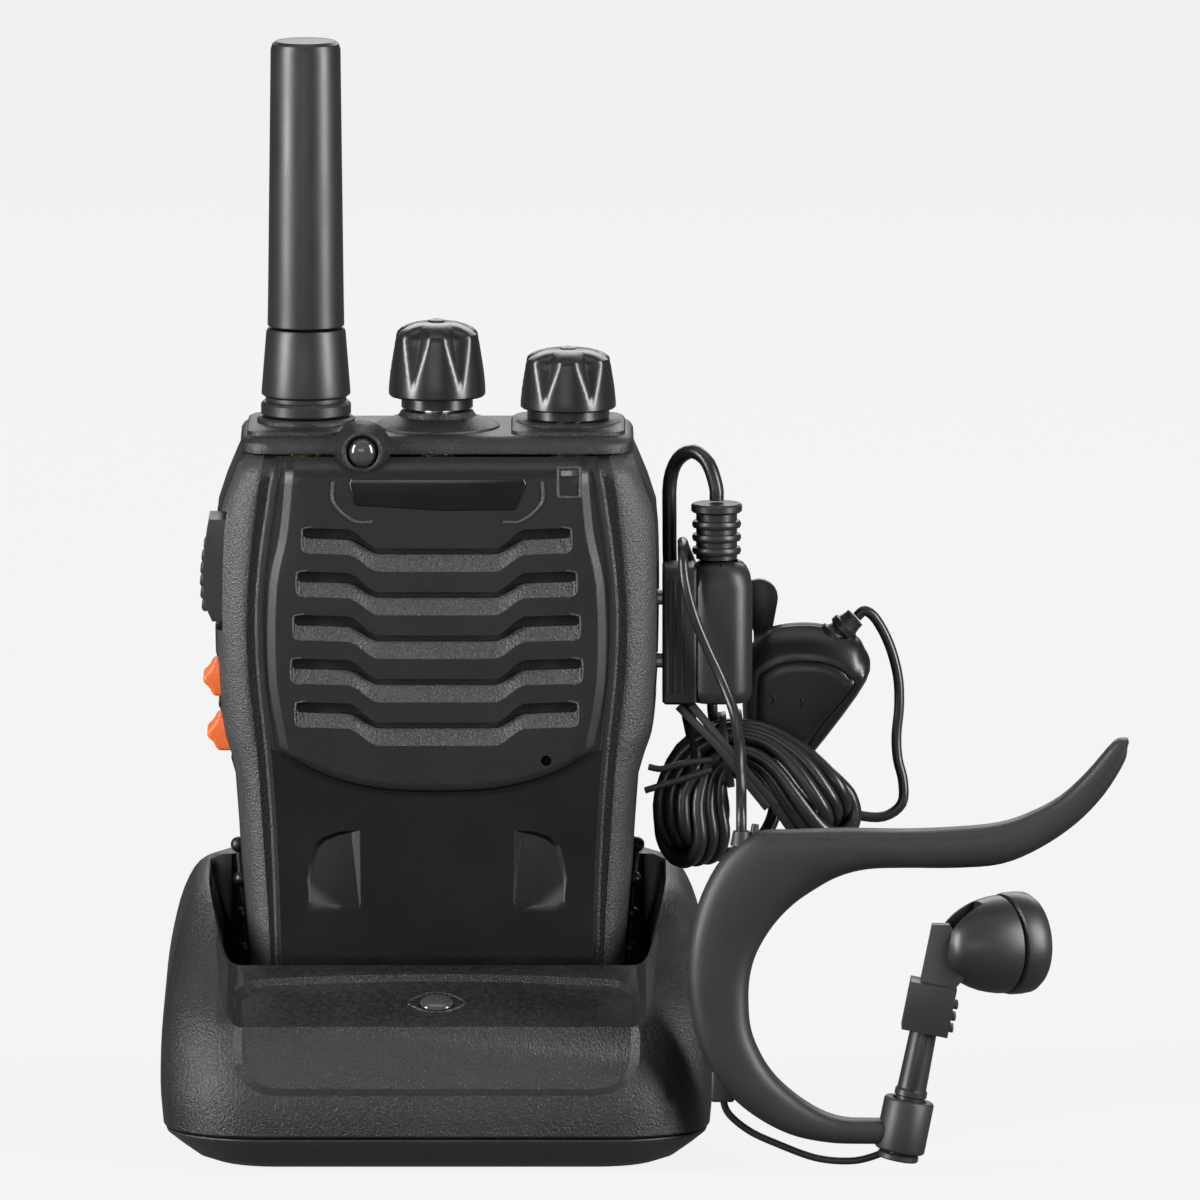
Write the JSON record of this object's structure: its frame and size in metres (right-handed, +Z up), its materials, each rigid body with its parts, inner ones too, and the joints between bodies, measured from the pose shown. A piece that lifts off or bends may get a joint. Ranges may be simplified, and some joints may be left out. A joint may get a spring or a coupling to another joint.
{
  "type": "two way radio",
  "caption": "Hand-held two way radio with stub antenna, knobs and side keys, standing in its desk charger with a wired ear-hook earpiece plugged in.",
  "frame": {"origin": "centre of the charger's flat underside", "axes": "+X to the viewer's right across the radio's front, -Y out of the front, +Z up along the antenna"},
  "size_m": [0.1448, 0.083, 0.1668],
  "materials": {
    "dock_shell": "fine spark-textured black",
    "dock_feet": "matt",
    "body_shell": "fine textured black",
    "body_dark": "satin black",
    "key_rubber": "satin",
    "key_orange": "satin orange",
    "knob_plastic": "semi-gloss",
    "antenna_rubber": "satin, moulded",
    "clear_lens": "clear, polished",
    "steel": "plated",
    "brass": "plated",
    "circuit_board": "solder mask",
    "cloth": "fine mesh",
    "cell_wrap": "shrink wrap",
    "plug_plastic": "satin",
    "ear_rubber": "soft satin",
    "bud_plastic": "satin",
    "cord_jacket": "semi-gloss"
  },
  "bodies": {
    "charger": {"charger_top_shell": "dock_shell", "charger_base_shell": "dock_shell", "foot_strip_left": "dock_feet", "foot_strip_right": "dock_feet", "charger_board": "circuit_board", "dc_inlet": "body_dark", "charge_lamp": "clear_lens", "charge_contact_left": "brass", "charge_contact_right": "brass"},
    "radio": {"front_shell": "body_shell", "rear_chassis": "body_shell", "top_deck": "body_shell", "name_plate": "body_dark", "status_lamp": "clear_lens", "torch_lens": "clear_lens", "grille_cloth": "cloth", "speaker": "steel", "main_board": "circuit_board", "microphone": "steel", "antenna_socket": "brass", "volume_pot": "steel", "channel_switch": "steel", "accessory_socket": "body_dark", "battery_case": "body_shell", "battery_inner_cover": "body_dark", "battery_cell": "cell_wrap", "clip_bracket": "body_dark", "clip_screw_left": "steel", "clip_screw_right": "steel", "clip_pin": "steel", "clip_spring": "steel"},
    "antenna": {"antenna_collar": "antenna_rubber", "antenna_whip": "antenna_rubber"},
    "volume": {"volume_knob": "knob_plastic"},
    "channel": {"channel_knob": "knob_plastic"},
    "ptt": {"ptt_key": "key_rubber"},
    "key_upper": {"side_key_upper": "key_orange"},
    "key_lower": {"side_key_lower": "key_orange"},
    "latch": {"battery_latch": "body_dark"},
    "clip": {"belt_clip": "body_dark"},
    "earpiece": {"plug_body": "plug_plastic", "plug_pin_lower": "steel", "plug_pin_upper": "steel", "plug_boot": "ear_rubber", "plug_lead": "cord_jacket", "lead_hank": "cord_jacket", "box_lead": "cord_jacket", "mic_wire": "cord_jacket", "hook_lead": "cord_jacket", "bud_lead": "cord_jacket", "mic_box_front": "plug_plastic", "mic_box_back": "plug_plastic", "mic_boot": "ear_rubber", "ear_hook": "ear_rubber"},
    "talk_button": {"mic_button": "plug_plastic"},
    "talk_clip": {"mic_clip": "plug_plastic"},
    "bud_arm": {"earbud_stem": "bud_plastic", "earbud_bracket": "bud_plastic"},
    "earbud": {"earbud_housing": "bud_plastic", "earbud_cushion": "ear_rubber"}
  },
  "joints": [
    {"name": "radio_lift", "type": "slide", "parent": "charger", "child": "radio", "axis": [0, 0, 1], "range_m": [0, 0.06]},
    {"name": "antenna_turn", "type": "hinge", "parent": "radio", "child": "antenna", "pos_m": [-0.0198, 0.001, 0.11], "axis": [0, 0, 1], "continuous": true},
    {"name": "volume_turn", "type": "hinge", "parent": "radio", "child": "volume", "pos_m": [0, 0.001, 0.115], "axis": [0, 0, -1], "range_deg": [0, 270]},
    {"name": "channel_turn", "type": "hinge", "parent": "radio", "child": "channel", "pos_m": [0.0198, 0.001, 0.113], "axis": [0, 0, -1], "continuous": true},
    {"name": "ptt_press", "type": "slide", "parent": "radio", "child": "ptt", "axis": [1, 0, 0], "range_m": [0, 0.001], "stiffness_N_per_m": 3000},
    {"name": "upper_key_press", "type": "slide", "parent": "radio", "child": "key_upper", "axis": [1, 0, 0], "range_m": [0, 0.0008], "stiffness_N_per_m": 2500},
    {"name": "lower_key_press", "type": "slide", "parent": "radio", "child": "key_lower", "axis": [1, 0, 0], "range_m": [0, 0.0008], "stiffness_N_per_m": 2500},
    {"name": "latch_slide", "type": "slide", "parent": "radio", "child": "latch", "axis": [0, 0, 1], "range_m": [0, 0.0022], "stiffness_N_per_m": 1500},
    {"name": "clip_open", "type": "hinge", "parent": "radio", "child": "clip", "pos_m": [0, 0.0204, 0.0984], "axis": [1, 0, 0], "range_deg": [0, 14], "stiffness_Nm_per_rad": 0.6},
    {"name": "earpiece_unplug", "type": "slide", "parent": "radio", "child": "earpiece", "axis": [1, 0, 0], "range_m": [0, 0.012]},
    {"name": "talk_press", "type": "slide", "parent": "earpiece", "child": "talk_button", "axis": [0, 1, 0], "range_m": [0, 0.0005], "stiffness_N_per_m": 2500},
    {"name": "talk_clip_open", "type": "hinge", "parent": "earpiece", "child": "talk_clip", "pos_m": [0.0493, 0.0149, 0.0726], "axis": [1, 0, 0], "range_deg": [0, 12], "stiffness_Nm_per_rad": 0.05},
    {"name": "stem_turn", "type": "hinge", "parent": "earpiece", "child": "bud_arm", "pos_m": [0.0703, -0.0402, 0.0077], "axis": [0.1959, 0, 0.9806], "range_deg": [-110, 110]},
    {"name": "earbud_tilt", "type": "hinge", "parent": "bud_arm", "child": "earbud", "pos_m": [0.0781, -0.0402, 0.0344], "axis": [0, 1, 0], "range_deg": [-25, 9]}
  ]
}
